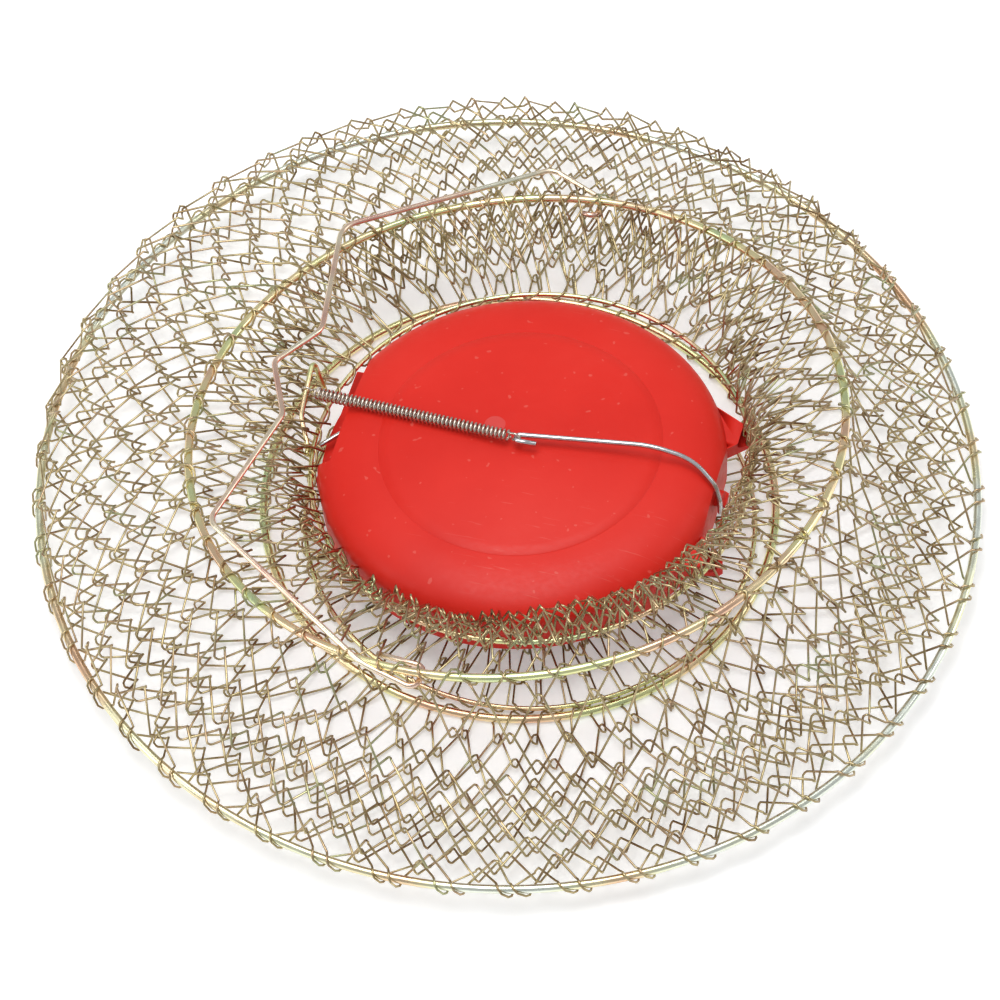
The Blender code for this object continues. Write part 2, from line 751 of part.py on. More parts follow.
def build_trough(parent):
    """Round trough along the hinge axis, in which the lugs hold the lid ring."""
    bpy.ops.mesh.primitive_cylinder_add(
        vertices=TROUGH_STEPS, radius=TROUGH_RADIUS, depth=2 * LID_RADIUS
    )
    trough = bpy.context.object
    trough.name = "hinge_trough"
    trough.data.transform(Matrix.Rotation(math.pi / 2, 4, "X"))
    adopt(trough, parent, CUTTERS)
    return hide_cutter(trough)


def build_base(parent):
    """Plate that closes the float, with two saddles under it for the lever wire."""
    foot_share = (BASE_HEIGHT + BASE_THICKNESS) / LID_DEPTH
    radius = LID_RADIUS + (LID_FOOT_RADIUS - LID_RADIUS) * foot_share - LID_WALL - GAP
    bpy.ops.mesh.primitive_cylinder_add(vertices=LID_STEPS, radius=radius, depth=BASE_THICKNESS)
    plate = bpy.context.object
    plate.name = "lid_base"
    adopt(plate, parent, PARTS)
    plate.location = (-HINGE_REACH, 0, -BASE_HEIGHT - BASE_THICKNESS / 2)
    plate.data.materials.append(material("red_plastic"))
    size = 2 * LID_RADIUS
    inset = LID_WALL + GAP
    low, high = shifted((HINGE_FLAT - inset, -size, -size), (size, size, size))
    combine(plate, box("base_hinge_flat", low, high, parent), "DIFFERENCE")
    low, high = shifted((-size, -size, -size), (-LATCH_FLAT + inset, size, size))
    combine(plate, box("base_latch_flat", low, high, parent), "DIFFERENCE")
    length, width = SADDLE_SIZE
    foot = STUB_HEIGHT - STUB_RADIUS - SADDLE_UNDER
    head = -BASE_HEIGHT - BASE_THICKNESS / 2
    for k, middle in enumerate(SADDLE_PLACES):
        low, high = shifted(
            (middle - length / 2, SADDLE_SIDE - width / 2, foot),
            (middle + length / 2, SADDLE_SIDE + width / 2, head),
        )
        combine(plate, box(f"saddle_{k + 1}", low, high, parent), "UNION")
    combine(plate, lever_channel(parent), "DIFFERENCE")


def build_lever(parent):
    lever = tube("lever_wire", lever_path(), LEVER_WIRE, THIN_SIDES)
    place(lever, parent, "bright_steel", shift=(-HINGE_REACH, 0, 0))


def build_handle():
    """Bent wire handle, hooked round the mouth ring from below and folded to the left."""
    frame = turned_frame(MOUTH.frame, HANDLE_BEARING, (0, 0, -handle_drop()))
    pivot = carrier("handle_pivot", frame @ Matrix.Rotation(HANDLE_REST_TILT, 4, "X"))
    half = handle_outline()
    mirrored = [(-along, away) for along, away in reversed(half)]
    outline = [(along, away, 0) for along, away in half + mirrored]
    path = rounded(outline, HANDLE_BENDS + HANDLE_BENDS[::-1])
    place(tube("handle", path, HANDLE_WIRE, THIN_SIDES), pivot, "gold_wire")


def build_basket():
    carriers = build_rings()
    build_nets()
    build_anchor(carriers["lid_ring"])
    build_spring(carriers["lid_ring"])
    hinge = carrier("lid_hinge", LID_FRAME @ Matrix.Translation((HINGE_REACH, 0, 0)))
    build_lid(hinge)
    build_base(hinge)
    build_lever(hinge)
    build_handle()


build_basket()
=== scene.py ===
"""Floating wire fish basket, folded flat: fine net, smooth wires, moulded lid and studio.

Lengths are metres in the CAD's frame. The rings lie where the CAD has them, and the nets, the lid,
its lever and spring, and the handle take their places from the rings.
"""

import math

import bmesh
import bpy
import numpy as np
from mathutils import Matrix, Vector, noise

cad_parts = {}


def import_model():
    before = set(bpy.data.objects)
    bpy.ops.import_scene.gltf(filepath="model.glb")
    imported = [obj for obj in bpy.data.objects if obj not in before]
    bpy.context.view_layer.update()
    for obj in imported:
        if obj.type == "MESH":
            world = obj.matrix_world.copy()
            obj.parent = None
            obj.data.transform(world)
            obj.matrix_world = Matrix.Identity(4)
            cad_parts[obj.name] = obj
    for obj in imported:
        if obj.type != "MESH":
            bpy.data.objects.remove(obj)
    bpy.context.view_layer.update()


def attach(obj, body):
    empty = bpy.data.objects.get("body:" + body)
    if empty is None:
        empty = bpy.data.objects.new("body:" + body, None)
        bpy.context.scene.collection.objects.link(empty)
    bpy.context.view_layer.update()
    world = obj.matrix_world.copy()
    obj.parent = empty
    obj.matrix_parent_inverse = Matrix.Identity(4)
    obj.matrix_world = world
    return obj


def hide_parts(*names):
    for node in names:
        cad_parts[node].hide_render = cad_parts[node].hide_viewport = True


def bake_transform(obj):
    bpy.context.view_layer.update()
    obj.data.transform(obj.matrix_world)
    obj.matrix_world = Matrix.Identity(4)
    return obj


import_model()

RNG = np.random.default_rng(7)
noise.seed_set(7)

# Room between seated pieces, and the wires of the heavy rings, the thin rings, lever and handle
GAP = 0.0003
RING_WIRE = 0.004
THIN_WIRE = 0.0024
LEVER_WIRE = 0.002
HANDLE_WIRE = 0.0026


def plane_frame(place, slope):
    """Frame at a place, in a plane that rises by slope along X and Y."""
    normal = Vector((-slope[0], -slope[1], 1)).normalized()
    across = (Vector((1, 0, 0)) - normal * normal.x).normalized()
    along = normal.cross(across)
    turn = Matrix((across, along, normal)).transposed().to_4x4()
    return Matrix.Translation(Vector(place)) @ turn


class Ring:
    """Ring of wire: the frame and the radius of its centre line, and the wire's thickness."""

    def __init__(self, place, slope, radius, wire):
        self.frame = plane_frame(place, slope)
        self.rot = np.array(self.frame.to_3x3())
        self.centre = np.array(self.frame.translation)
        self.radius = radius
        self.wire = wire

    def point(self, bearing, out=0.0, up=0.0):
        """Point beside the ring's centre line, out from it and up along the ring's normal."""
        r = self.radius + out
        return self.centre + self.rot @ np.array((r * math.cos(bearing), r * math.sin(bearing), up))


LEVEL = (0, 0)
MOUTH_SLOPE = (0.0986, -0.1333)
FLOOR_PLACE = (0.01028, -0.01746)
BOTTOM = Ring((0.0054, -0.0065, 0.00195), LEVEL, 0.1235, RING_WIRE)
FLOOR = Ring((*FLOOR_PLACE, 0.0038), LEVEL, 0.108, THIN_WIRE)
MIDDLE = Ring((0, 0, 0.014), LEVEL, 0.225, RING_WIRE)
MOUTH = Ring((0.0031, -0.0100, 0.070), MOUTH_SLOPE, 0.1535, RING_WIRE)
COLLAR = Ring((0.0106, -0.0123, 0.042), (0.0537, -0.0465), 0.1043, THIN_WIRE)

# The lid's frame in the lid ring's: turned so that its hinge is at +X, and set back from the middle
LID_SETBACK = 0.0043
LID_IN_COLLAR = Matrix.Rotation(math.radians(-15.5), 4, "Z") @ Matrix.Translation((-LID_SETBACK, 0, 0))
LID_FRAME = COLLAR.frame @ LID_IN_COLLAR


def new_object(name, mesh, material):
    """Object of a mesh in the scene, with its material."""
    item = bpy.data.objects.new(name, mesh)
    bpy.context.scene.collection.objects.link(item)
    item.data.materials.append(material)
    return item


def unit(vectors):
    """Vectors scaled to length 1."""
    return vectors / np.maximum(np.linalg.norm(vectors, axis=-1, keepdims=True), 1e-9)


# A direction that no wire starts along
ODD_WAY = (0.3, 0.5, 0.81)


def carried_normals(tangent, closed):
    """Normals carried along a wire without twist; on a closed wire the rest is spread evenly."""
    normal = np.cross(tangent[0], ODD_WAY)
    normals = []
    for t in tangent:
        normal = unit(normal - t * (normal @ t))
        normals.append(normal)
    normals = np.array(normals)
    if closed:
        back = unit(normal - tangent[0] * (normal @ tangent[0]))
        left = np.cross(tangent[0], back)
        rest = math.atan2(normals[0] @ left, normals[0] @ back)
        turn = (rest * np.arange(len(normals)) / len(normals))[:, None]
        normals = normals * np.cos(turn) + np.cross(tangent, normals) * np.sin(turn)
    return normals


def sweep(name, points, radius, sides, material, closed=False):
    """Round wire through points, as a new object."""
    points = np.asarray(points, float)
    count = len(points)
    ahead = np.roll(points, -1, 0) - points
    behind = points - np.roll(points, 1, 0)
    if not closed:
        ahead[-1] = behind[-1]
        behind[0] = ahead[0]
    tangent = unit(unit(ahead) + unit(behind))
    normals = carried_normals(tangent, closed)
    side = np.cross(tangent, normals)
    angle = np.arange(sides) * 2 * math.pi / sides
    cosine, sine = np.cos(angle)[None, :, None], np.sin(angle)[None, :, None]
    ring = cosine * normals[:, None] + sine * side[:, None]
    verts = (points[:, None] + ring * radius).reshape(-1, 3)
    faces = []
    last = count if closed else count - 1
    for k in range(last):
        a, b = k * sides, ((k + 1) % count) * sides
        for j in range(sides):
            n = (j + 1) % sides
            faces.append((a + j, a + n, b + n, b + j))
    if not closed:
        faces.append(tuple(range(sides))[::-1])
        faces.append(tuple((count - 1) * sides + j for j in range(sides)))
    mesh = bpy.data.meshes.new(name)
    mesh.from_pydata(verts.tolist(), [], faces)
    mesh.shade_smooth()
    bm = bmesh.new()
    bm.from_mesh(mesh)
    bmesh.ops.recalc_face_normals(bm, faces=bm.faces)
    bm.to_mesh(mesh)
    bm.free()
    return new_object(name, mesh, material)


def rounded(points, radii, step=math.radians(4)):
    """Polyline whose inner corners are arcs of the given radii."""
    points = [Vector(p) for p in points]
    path = [points[0]]
    for before, corner, after, radius in zip(points, points[1:], points[2:], radii):
        a = (corner - before).normalized()
        b = (after - corner).normalized()
        turn = a.angle(b)
        start = corner - a * radius * math.tan(turn / 2)
        inward = (b - a * b.dot(a)).normalized()
        count = max(2, math.ceil(turn / step))
        for k in range(count + 1):
            t = turn * k / count
            path.append(start + a * radius * math.sin(t) + inward * radius * (1 - math.cos(t)))
    path.append(points[-1])
    return path


def placed(points, matrix):
    """Points of a frame as points of the scene."""
    return [tuple(matrix @ Vector(p)) for p in points]


def polar(bearing, radius, height=0.0):
    """Point at a bearing, a radius and a height."""
    return Vector((radius * math.cos(bearing), radius * math.sin(bearing), height))


def shader_material(name):
    """New material, its nodes and links, and its shader."""
    made = bpy.data.materials.new(name)
    made.use_nodes = True
    nodes, links = made.node_tree.nodes, made.node_tree.links
    return made, nodes, links, nodes["Principled BSDF"]


def noise_node(nodes, links, scale, detail=3.0, stretch=None):
    """Noise over the object's own coordinates, which may be stretched."""
    coords = nodes.new("ShaderNodeTexCoord")
    tex = nodes.new("ShaderNodeTexNoise")
    tex.inputs["Scale"].default_value = scale
    tex.inputs["Detail"].default_value = detail
    if stretch:
        mapping = nodes.new("ShaderNodeMapping")
        mapping.inputs["Scale"].default_value = stretch
        links.new(coords.outputs["Object"], mapping.inputs["Vector"])
        links.new(mapping.outputs["Vector"], tex.inputs["Vector"])
    else:
        links.new(coords.outputs["Object"], tex.inputs["Vector"])
    return tex


def ramp_node(nodes, links, source, stops):
    """Colour ramp from (place, colour) stops."""
    ramp = nodes.new("ShaderNodeValToRGB")
    ramp.color_ramp.elements.remove(ramp.color_ramp.elements[1])
    ramp.color_ramp.elements[0].position = stops[0][0]
    ramp.color_ramp.elements[0].color = (*stops[0][1], 1)
    for place, colour in stops[1:]:
        element = ramp.color_ramp.elements.new(place)
        element.color = (*colour, 1)
    links.new(source, ramp.inputs["Fac"])
    return ramp


def bump_node(nodes, links, source, shader, strength, distance):
    bump = nodes.new("ShaderNodeBump")
    bump.inputs["Strength"].default_value = strength
    bump.inputs["Distance"].default_value = distance
    links.new(source, bump.inputs["Height"])
    links.new(bump.outputs["Normal"], shader.inputs["Normal"])


def plated(name, stops, roughness, scale=45):
    """Yellow zinc plating, whose tint drifts along the wire."""
    made, nodes, links, shader = shader_material(name)
    tint = noise_node(nodes, links, scale)
    ramp = ramp_node(nodes, links, tint.outputs["Fac"], stops)
    links.new(ramp.outputs["Color"], shader.inputs["Base Color"])
    shader.inputs["Metallic"].default_value = 1.0
    wear = noise_node(nodes, links, 120, 2.0)
    rough = ramp_node(nodes, links, wear.outputs["Fac"], [
        (0.35, (roughness - 0.04,) * 3), (0.65, (roughness + 0.06,) * 3)])
    links.new(rough.outputs["Color"], shader.inputs["Roughness"])
    return made


NET = plated("net_plating", [
    (0.34, (0.29, 0.19, 0.095)), (0.43, (0.43, 0.34, 0.18)), (0.50, (0.55, 0.46, 0.26)),
    (0.57, (0.48, 0.34, 0.21)), (0.66, (0.44, 0.44, 0.25))], 0.27, 38)
GOLD = plated("ring_plating", [
    (0.36, (0.82, 0.52, 0.36)), (0.43, (0.92, 0.70, 0.44)), (0.50, (0.93, 0.82, 0.46)),
    (0.57, (0.82, 0.83, 0.42)), (0.66, (0.62, 0.74, 0.42))], 0.24, 20)
PALE = plated("middle_plating", [
    (0.36, (0.76, 0.50, 0.32)), (0.44, (0.84, 0.70, 0.44)), (0.51, (0.82, 0.82, 0.56)),
    (0.60, (0.80, 0.84, 0.74))], 0.26, 14)
ROSE = plated("handle_plating", [
    (0.38, (0.80, 0.50, 0.40)), (0.46, (0.90, 0.68, 0.52)), (0.53, (0.92, 0.80, 0.60)),
    (0.62, (0.84, 0.82, 0.66))], 0.24, 24)


def steel(name, colour, roughness):
    """Bright steel wire with darker spots."""
    made, nodes, links, shader = shader_material(name)
    tone = noise_node(nodes, links, 300, 2.0)
    low = tuple(0.82 * c for c in colour)
    ramp = ramp_node(nodes, links, tone.outputs["Fac"], [(0.35, low), (0.65, colour)])
    links.new(ramp.outputs["Color"], shader.inputs["Base Color"])
    shader.inputs["Metallic"].default_value = 1.0
    shader.inputs["Roughness"].default_value = roughness
    return made


STEEL = steel("lever_steel", (0.66, 0.66, 0.68), 0.22)
SPRING = steel("spring_steel", (0.68, 0.60, 0.52), 0.24)


BLACK = (0, 0, 0)
WHITE = (1, 1, 1)
WORN_RED = (0.85, 0.28, 0.22)
WORN_SHARE = 0.22


def math_node(nodes, links, operation, first, second):
    """Output of a math node on a socket and a second socket or number."""
    made = nodes.new("ShaderNodeMath")
    made.operation = operation
    links.new(first, made.inputs[0])
    if isinstance(second, float):
        made.inputs[1].default_value = second
    else:
        links.new(second, made.inputs[1])
    return made.outputs["Value"]


def lid_material(name, pale=0.0):
    """Red polypropylene with faint scuffs, pale specks and a slightly uneven gloss."""
    made, nodes, links, shader = shader_material(name)
    cloud = noise_node(nodes, links, 14, 4.0)
    base = ramp_node(nodes, links, cloud.outputs["Fac"], [
        (0.30, (0.66, 0.016 + pale, 0.008 + pale)), (0.55, (0.72, 0.022 + pale, 0.012 + pale)),
        (0.75, (0.75, 0.030 + pale, 0.018 + pale))])
    scratch = noise_node(nodes, links, 60, 2.0, stretch=(1.0, 14.0, 1.0))
    marks = ramp_node(nodes, links, scratch.outputs["Fac"], [(0.66, BLACK), (0.72, WHITE)])
    area = noise_node(nodes, links, 9, 1.0)
    near = ramp_node(nodes, links, area.outputs["Fac"], [(0.52, BLACK), (0.66, WHITE)])
    scuffs = math_node(nodes, links, "MULTIPLY", marks.outputs["Color"], near.outputs["Color"])
    grit = noise_node(nodes, links, 240, 1.0)
    specks = ramp_node(nodes, links, grit.outputs["Fac"], [(0.735, BLACK), (0.76, WHITE)])
    worn = math_node(nodes, links, "MAXIMUM", scuffs, specks.outputs["Color"])
    share = math_node(nodes, links, "MULTIPLY", worn, WORN_SHARE)
    mix = nodes.new("ShaderNodeMix")
    mix.data_type = "RGBA"
    factor, plain, pale_mark, result = mix.inputs[0], mix.inputs[6], mix.inputs[7], mix.outputs[2]
    pale_mark.default_value = (*WORN_RED, 1)
    links.new(share, factor)
    links.new(base.outputs["Color"], plain)
    links.new(result, shader.inputs["Base Color"])
    grain = noise_node(nodes, links, 420, 3.0)
    rough = ramp_node(nodes, links, grain.outputs["Fac"], [(0.3, (0.34,) * 3), (0.7, (0.46,) * 3)])
    links.new(rough.outputs["Color"], shader.inputs["Roughness"])
    bump_node(nodes, links, grain.outputs["Fac"], shader, 0.08, 0.0003)
    shader.inputs["Specular IOR Level"].default_value = 0.26
    shader.inputs["Subsurface Weight"].default_value = 0.06
    shader.inputs["Subsurface Radius"].default_value = (0.006, 0.001, 0.001)
    shader.inputs["Subsurface Scale"].default_value = 1.0
    return made


RED = lid_material("lid_plastic")
GATE = lid_material("gate_plastic", 0.045)


def ring_wire(name, ring, material, body, node, sides=16, steps=240):
    """Smooth wire of a ring, in place of its CAD node."""
    points = [ring.point(2 * math.pi * k / steps) for k in range(steps)]
    item = sweep(name, points, ring.wire / 2, sides, material, closed=True)
    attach(item, body)
    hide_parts(node)


ring_wire("bottom_wire", BOTTOM, GOLD, "base", "bottom_ring")
ring_wire("floor_wire", FLOOR, GOLD, "base", "floor_ring", 10)
ring_wire("middle_wire", MIDDLE, PALE, "waist", "middle_ring")
ring_wire("mouth_wire", MOUTH, GOLD, "mouth", "mouth_ring")
ring_wire("collar_wire", COLLAR, GOLD, "collar", "lid_ring", 12)


# Nets: rows of zigzag wire, linked in each other and hooked round the rings
NET_RADIUS = 0.00057
NET_SIDES = 6
ZIGS = 50
STEP = 2 * math.pi / ZIGS
SECTORS = 24
HIGHEST = math.atan2(MOUTH_SLOPE[1], MOUTH_SLOPE[0])
NET_FLOOR = 0.0022

# Tip of a zigzag: half its width, its depth, how far it reaches past its link at least, the room
# between two linked wires, and the angles of its points
TIP_HALF = 0.0010
TIP_DEPTH = 0.0008
LEAST_REACH = 0.0022
LINK_ROOM = 0.00018
TIP_ANGLES = (-78, -30, 30, 78)

# Hook round a ring: the angles of its points about the ring's wire, how far along the ring each
# lies as a share of its spread, its room, and the most that a hook reaches from the ring's line
HOOK_ANGLES = (150, 110, 60, 25, -25, -60, -110, -150)
HOOK_ALONG = (-1.5, -1.2, -0.9, -0.45, 0.45, 0.9, 1.2, 1.5)
HOOK_ROOM = 0.0002

# Wander of the net: pace round the net, pace and shift from level to level, and its share
SLOW_WANDER = (4, 0.6, 0, 2.2)
QUICK_WANDER = (14, 2.3, 9, 1)

# The side to which the slack net hangs over, and the way round along which its surface is measured
SLACK_BEARING = math.radians(170)
NEARBY = 0.02


def mouth_lift(bearing):
    """Share of the slanted mouth ring's rise at a bearing, from its lowest to its highest."""
    return (1 + math.cos(bearing - HIGHEST)) / 2


class Skirt:
    """Net between two rings. For each level between its rows, the drape has a share of the way to
    the second ring and a share of the height over it, where the mouth ring is lowest and highest."""

    def __init__(self, first, second, drape, start, twist=0.0, leg=0.0155, wander=0.0009):
        self.first = first
        self.second = second
        self.low = np.array(drape["low"])
        self.high = np.array(drape["high"])
        self.rows = len(self.low) - 1
        self.start = start
        self.twist = twist
        self.leg = leg
        self.wander = wander

    def point(self, bearing, level):
        """Point of the draped net at a level, with a slow wander that linked corners share."""
        share = level / self.rows
        turned = bearing + self.twist * self.slack(bearing) * (1 - share)
        along, height = self.drape(turned, level)
        near, far = self.first.point(turned), self.second.point(turned)
        point = near + (far - near) * along
        point[2] = far[2] + height
        if 0 < level < self.rows:
            point += self.drift(bearing, level, SLOW_WANDER)
            point += self.drift(bearing, level, QUICK_WANDER)
            point[2] = max(point[2], NET_FLOOR)
        return point

    def drift(self, bearing, level, kind):
        """Step aside that changes gently round the net and from level to level."""
        pace, level_pace, shift, share = kind
        round_x, round_y = math.cos(bearing) * pace, math.sin(bearing) * pace
        place = Vector((round_x, round_y, level * level_pace + shift))
        return np.array(noise.noise_vector(place)) * self.wander * share

    def drape(self, bearing, level):
        """Share of the way to the second ring, and height over it, at a level."""
        lift = mouth_lift(bearing)
        along, height = self.low[level] * (1 - lift) + self.high[level] * lift
        rise = self.first.point(bearing)[2] - self.second.point(bearing)[2]
        return along, rise * height

    def surface(self, bearing, level):
        """Point of the net, the way round it, the way on to the second ring, and its normal."""
        here = self.point(bearing, level)
        round_way = self.point(bearing + NEARBY, level) - self.point(bearing - NEARBY, level)
        round_way /= np.linalg.norm(round_way)
        on = self.point(bearing, min(level + 1, self.rows)) - self.point(bearing, max(level - 1, 0))
        on -= round_way * (on @ round_way)
        on /= np.linalg.norm(on)
        return here, round_way, on, np.cross(on, round_way)

    def corner(self, bearing, level, step):
        """Rounded tip of a zigzag that comes from the level a step on."""
        here, round_way, on, normal = self.surface(bearing, level)
        out = -step * on
        half = TIP_HALF * RNG.uniform(0.85, 1.25)
        pitch = np.linalg.norm(self.point(bearing, level + step) - here)
        reach = max(LEAST_REACH, (self.leg - pitch) / 2) * RNG.uniform(0.88, 1.1)
        side = (NET_RADIUS + LINK_ROOM) * RNG.uniform(1.0, 1.5) * (1 + 2 * reach / self.leg)
        lean = RNG.normal(0, 0.2)
        points = []
        for angle in TIP_ANGLES:
            a = math.radians(angle)
            beyond = reach - TIP_DEPTH * (1 - math.cos(a)) + lean * half * math.sin(a)
            points.append(here + round_way * half * math.sin(a) + out * beyond
                          + normal * side * step * angle / TIP_ANGLES[-1])
        return points

    def hook(self, ring, bearing, inner):
        """Tip of a zigzag round a ring, lying along it; inner where the net is inside the ring."""
        reach = (ring.wire / 2 + NET_RADIUS + HOOK_ROOM) * RNG.uniform(1.05, 1.3)
        sign = 1 if inner else -1
        spread = RNG.uniform(0.0026, 0.0040) / ring.radius
        points = []
        for angle, share in zip(HOOK_ANGLES, HOOK_ALONG):
            a = math.radians(angle)
            out, up = sign * reach * math.cos(a), reach * math.sin(a)
            points.append(ring.point(bearing + spread * share, out, up))
        return points

    def slack(self, bearing):
        """How far the net hangs to the front: one way round at the left, the other at the right."""
        lean = math.cos(bearing - SLACK_BEARING)
        return lean * (0.8 + 0.2 * lean)

    def row(self, index):
        """Path of one closed zigzag wire, between two levels or a level and a ring."""
        points = []
        outward = self.second.radius > self.first.radius
        for k in range(ZIGS):
            bearing = self.start + (k + index / 2) * STEP
            for level, b, step in ((index, bearing, 1), (index + 1, bearing + STEP / 2, -1)):
                if level == 0:
                    points += self.hook(self.first, b + self.twist * self.slack(b), not outward)
                elif level == self.rows:
                    points += self.hook(self.second, b, outward)
                else:
                    points += self.corner(b, level, step)
        points = np.array(points)
        points[:, 2] = np.maximum(points[:, 2], NET_RADIUS)
        return points


# Where the throat net heaps under the mouth ring: the middle of that side, half its width in full,
# and the width over which it goes over to the drape of the rest
BACK_BEARING = math.radians(92)
BACK_HALF = math.radians(40)
BACK_FADE = math.radians(36)


def smooth(share):
    """Share from 0 to 1 with level ends."""
    return share * share * (3 - 2 * share)


class Throat(Skirt):
    """Net that heaps under the mouth ring at the back, and over the lid ring elsewhere."""

    def drape(self, bearing, level):
        off_back = abs((bearing - BACK_BEARING + math.pi) % (2 * math.pi) - math.pi)
        back = smooth(1 - min(1, max(0, (off_back - BACK_HALF) / BACK_FADE)))
        along, height = super().drape(bearing, level)
        rise = self.first.point(bearing)[2] - self.second.point(bearing)[2]
        far_along, far_height = THROAT_BACK[level]
        height = height * (1 - back) + rise * far_height * back
        return along * (1 - back) + far_along * back, height


def net_rows(name, skirt):
    """One piece for each row of a net."""
    rows = []
    for index in range(skirt.rows):
        path = skirt.row(index)
        rows.append(sweep(f"{name}_{index + 1}", path, NET_RADIUS, NET_SIDES, NET, closed=True))
    return rows


def finish_net(nodes):
    """Hides the CAD nodes that the pieces of a net replace."""
    for k, node in enumerate(nodes):
        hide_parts(node)


def share_out(rows, centre):
    """Vertices of all rows, and their faces in one list for each sector round a centre."""
    verts = []
    shares = [[] for k in range(SECTORS)]
    for item in rows:
        first = len(verts)
        verts += [tuple(v.co) for v in item.data.vertices]
        for face in item.data.polygons:
            corners = [first + i for i in face.vertices]
            x, y = verts[corners[0]][:2]
            turn = math.atan2(y - centre[1], x - centre[0]) / (2 * math.pi) % 1
            shares[int(turn * SECTORS) % SECTORS].append(corners)
        bpy.data.objects.remove(item, do_unlink=True)
    return verts, shares


def stretched_net(name, skirt, centre, nodes):
    """Net in sectors round a centre, one piece for each sector."""
    verts, shares = share_out(net_rows(name, skirt), centre)
    for k, faces in enumerate(shares):
        used = sorted({i for face in faces for i in face})
        order = {i: n for n, i in enumerate(used)}
        mesh = bpy.data.meshes.new(f"{name}_sector_{k + 1}")
        mesh.from_pydata([verts[i] for i in used], [], [[order[i] for i in face] for face in faces])
        mesh.shade_smooth()
        item = new_object(f"{name}_sector_{k + 1}", mesh, NET)
        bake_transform(item)
    finish_net(nodes)


# Drapes of the folded nets, level by level from their first ring to their second
UPPER = {
    "low": ((0, 1), (0.11, 0.97), (0.22, 0.94), (0.33, 0.91), (0.44, 0.87), (0.55, 0.82),
            (0.66, 0.78), (0.76, 0.74), (0.86, 0.70), (0.94, 0.64), (1.00, 0.50), (1, 0)),
    "high": ((0, 1), (0.08, 0.83), (0.18, 0.52), (0.31, 0.34), (0.39, 0.27), (0.46, 0.23), (0.52, 0.20),
             (0.58, 0.18), (0.65, 0.16), (0.74, 0.13), (0.86, 0.09), (1, 0)),
}
THROAT = {
    "low": ((0, 1), (0.16, 0.90), (0.34, 0.75), (0.48, 0.65), (0.58, 0.57), (0.67, 0.50), (0.76, 0.42),
            (0.84, 0.33), (0.91, 0.23), (0.97, 0.12), (1, 0)),
    "high": ((0, 1), (0.30, 0.92), (0.55, 0.85), (0.76, 0.79), (0.90, 0.72), (0.99, 0.60), (1.03, 0.47),
             (1.03, 0.34), (1.02, 0.21), (1.01, 0.10), (1, 0)),
}
THROAT_BACK = ((0, 1), (0.05, 0.88), (0.10, 0.74), (0.15, 0.62), (0.20, 0.52), (0.26, 0.43), (0.33, 0.34),
               (0.41, 0.26), (0.50, 0.18), (0.64, 0.10), (1, 0))
LOWER = {
    "low": ((0, 1), (0.13, 0.94), (0.26, 0.88), (0.38, 0.81), (0.49, 0.73), (0.60, 0.63), (0.70, 0.53),
            (0.79, 0.42), (0.87, 0.30), (0.94, 0.16), (1, 0)),
    "high": ((0, 1), (0.12, 0.96), (0.26, 0.92), (0.39, 0.87), (0.49, 0.80), (0.57, 0.72), (0.64, 0.64),
             (0.72, 0.52), (0.80, 0.38), (0.89, 0.20), (1, 0)),
}
FLOOR_ROWS = 5
EVEN = [(k / FLOOR_ROWS, 1 - k / FLOOR_ROWS) for k in range(FLOOR_ROWS + 1)]
EYE = Ring((*FLOOR_PLACE, 0.0016), LEVEL, 0.026, 0.0012)

upper_net = Skirt(MOUTH, MIDDLE, UPPER, start=0.02, twist=-0.34)
stretched_net("upper_net", upper_net, MOUTH.centre,
              ("upper_net_row_1", "upper_net_row_2", "upper_net_row_3"))

throat_net = Throat(MOUTH, COLLAR, THROAT, start=0.05, leg=0.0195, wander=0.0016)
throat_rows = net_rows("throat_net", throat_net)
for row in throat_rows:
    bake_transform(row)
finish_net(("throat_net_row_1", "throat_net_row_2"))

lower_net = Skirt(BOTTOM, MIDDLE, LOWER, start=0.05, twist=0.06, leg=0.0165, wander=0.0010)
stretched_net("lower_net", lower_net, BOTTOM.centre,
              ("lower_net_row_1", "lower_net_row_2"))

floor_net = Skirt(FLOOR, EYE, {"low": EVEN, "high": EVEN}, start=0.03, leg=0.018, wander=0.0004)
floor_rows = net_rows("floor_net", floor_net)
for row in floor_rows:
    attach(row, "base")
finish_net(("floor_net_row_1",))


# Lid about its own frame's Z, its hinge at +X and its latch at -X
LID_RADIUS = 0.0970
FOOT_RADIUS = 0.0962
LID_DEPTH = 0.019
CROWN = 0.0178
SHOULDER_RADIUS = 0.0667
SHOULDER = 0.0138
WALL = 0.0018
RECESS = 0.004
HINGE_FLAT = 0.0936
LATCH_FLAT = 0.086
LATCH_END = -0.027
LEDGE = 0.010
SILL_REACH = 0.0955
SILL_END = 0.0430
LID_EDGE = 0.0005
FAR = 0.2

# Steps of the outline over the top and down the side, and round the lid and its hollow
TOP_STEPS = 12
SIDE_STEPS = 18
LID_STEPS = 192
HOLLOW_STEPS = 128

# Moulded circle on the lid: how far the crown stands over it, its points out from the circle and
# over the shoulder, and its width
CIRCLE_STEP = 0.0004
CIRCLE = ((0.0003, 0.00012), (0.0008, 0.00010))
CIRCLE_WIDTH = 0.0010

# Rounded foot of the wall, and the plain foot of the hollow, out from the foot's radius and up
FOOT_EDGE = ((0.0003, 0.0010), (-0.0004, 0.0003), (-0.0009, 0))
HOLLOW_EDGE = ((0.0003, 0), (0, 0))


